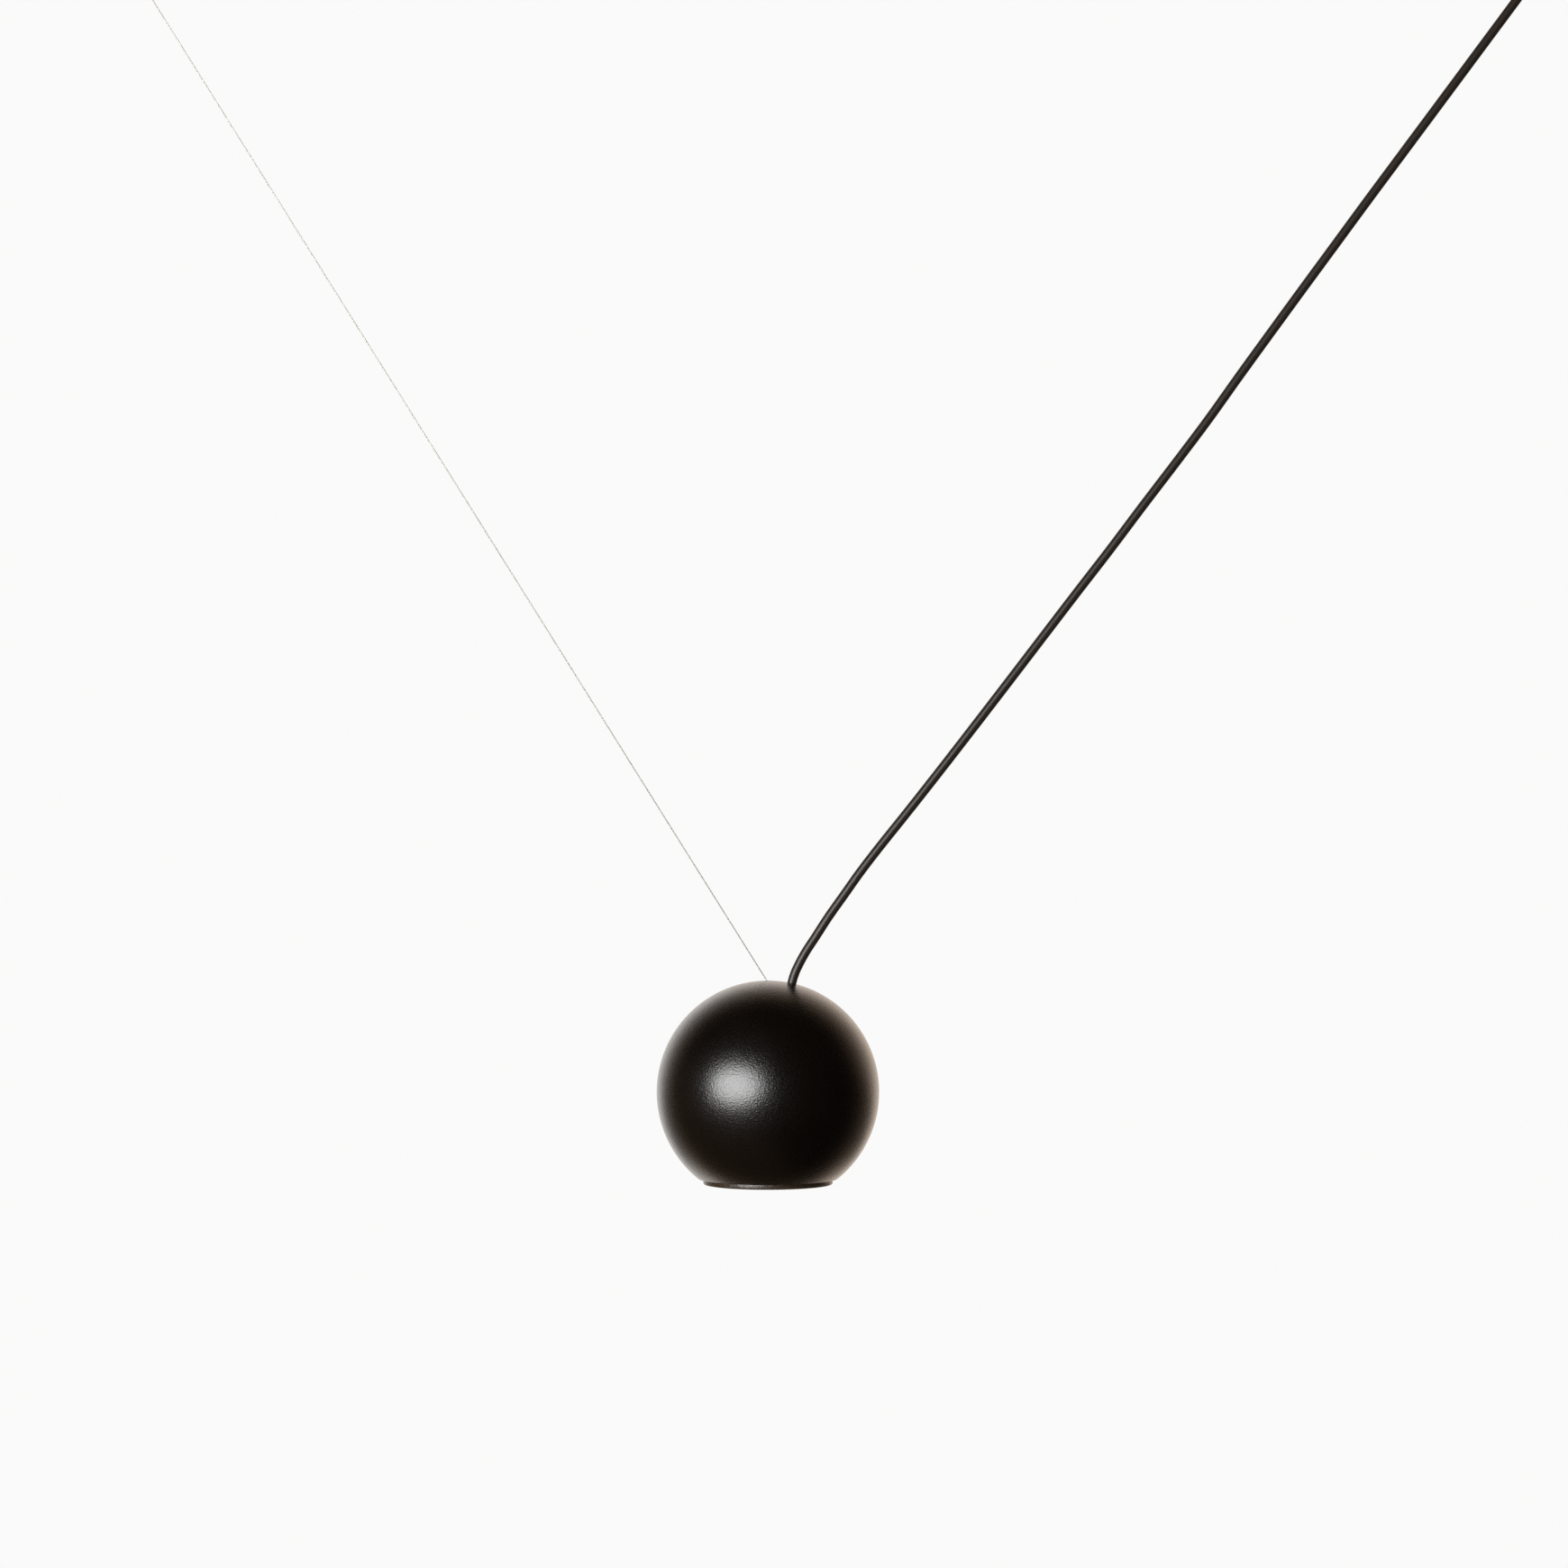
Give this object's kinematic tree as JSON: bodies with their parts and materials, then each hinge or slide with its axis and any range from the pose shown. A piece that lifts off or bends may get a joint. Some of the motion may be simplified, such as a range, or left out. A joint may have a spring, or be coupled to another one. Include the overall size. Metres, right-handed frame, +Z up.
{
  "type": "ball pendant light",
  "caption": "Black ball pendant hung in a V from the ceiling, on a thin steel wire at one side and on its round mains cord at the other.",
  "frame": {"origin": "centre of the canopy plate's flat ceiling face", "axes": "+Z up into the ceiling, +X from the wire's ceiling anchor towards the canopy, +Y away from a viewer who sees the wire on the left and the cord on the right"},
  "size_m": [0.846, 0.12, 0.7198],
  "materials": {
    "black_paint": "fine-textured satin powder coat",
    "black_trim": "matt black paint",
    "cord_sheath": "satin black extruded sheath",
    "steel": "bright",
    "brass": "plain",
    "aluminium": "turned",
    "nylon": "moulded",
    "black_nylon": "moulded",
    "ceramic": "fired",
    "lamp_plastic": "moulded",
    "lens": "frosted",
    "core_brown": "smooth insulation",
    "core_earth": "smooth insulation",
    "core_blue": "smooth insulation"
  },
  "bodies": {
    "ceiling": {"canopy_plate": "steel", "earth_washer": "brass", "earth_screw": "brass", "canopy_terminal_block": "nylon", "cord_upper_end": "cord_sheath", "upper_brown_core": "core_brown", "upper_earth_core": "core_earth", "upper_blue_core": "core_blue", "anchor_base": "black_paint", "anchor_pad": "nylon", "anchor_socket": "black_paint"},
    "canopy_cover": {"canopy_cup": "black_paint", "gland_body": "black_nylon", "gland_lock_nut": "black_nylon", "gland_collar": "nylon"},
    "gland_nut": {"gland_cap": "black_nylon"},
    "release": {"gripper_plunger": "steel", "gripper_washer": "brass", "grip_ball_1": "steel", "grip_ball_2": "steel", "grip_ball_3": "steel"},
    "trim": {"trim_ring": "black_paint", "glare_baffle": "black_trim"},
    "lamp": {"lamp_pin_back": "brass", "lamp_pin_front": "brass", "lamp_base": "lamp_plastic", "lamp_housing": "lamp_plastic", "light_board": "aluminium", "lamp_lens": "lens"},
    "pendant": {"ball_stud": "steel", "gripper_barrel": "steel", "gripper_spring": "steel", "wire_upper_end": "steel", "suspension_wire": "steel", "power_cord": "cord_sheath", "shade": "black_paint", "carrier": "aluminium", "wire_nipple": "brass", "wire_lower_end": "steel", "cord_clamp": "black_nylon", "cord_clamp_screw_back": "steel", "cord_clamp_screw_front": "steel", "cord_lower_end": "cord_sheath", "lamp_bracket": "steel", "bracket_screw_back": "steel", "bracket_screw_front": "steel", "lampholder_screw_back": "steel", "lampholder_screw_front": "steel", "ball_terminal_block": "nylon", "lower_brown_core": "core_brown", "lower_earth_core": "core_earth", "lower_blue_core": "core_blue", "lampholder_brown_core": "core_brown", "lampholder_blue_core": "core_blue", "lampholder_cap": "ceramic", "lampholder_body": "ceramic", "lampholder_contact_back": "brass", "lampholder_contact_front": "brass"}
  },
  "joints": [
    {"name": "pendant_swing", "type": "hinge", "parent": "ceiling", "child": "pendant", "pos_m": [0, 0, -0.038], "axis": [1, 0, 0], "range_deg": [-25, 25], "deforming": ["power_cord"]},
    {"name": "canopy_twist", "type": "hinge", "parent": "ceiling", "child": "canopy_cover", "pos_m": [0, 0, 0], "axis": [0, 0, 1], "range_deg": [0, 30]},
    {"name": "gland_nut_turn", "type": "hinge", "parent": "canopy_cover", "child": "gland_nut", "pos_m": [0, 0, -0.038], "axis": [0, 0, 1], "range_deg": [0, 180]},
    {"name": "gripper_release", "type": "slide", "parent": "pendant", "child": "release", "axis": [-0.5309, 0, 0.8474], "range_m": [0, 0.002], "stiffness_N_per_m": 600, "springref_m": -0.002, "deforming": ["gripper_spring"]},
    {"name": "trim_twist", "type": "hinge", "parent": "pendant", "child": "trim", "pos_m": [-0.425, 0, -0.67], "axis": [0, 0, 1], "range_deg": [0, 30]},
    {"name": "lamp_twist", "type": "hinge", "parent": "pendant", "child": "lamp", "pos_m": [-0.425, 0, -0.67], "axis": [0, 0, 1], "range_deg": [0, 20]}
  ]
}
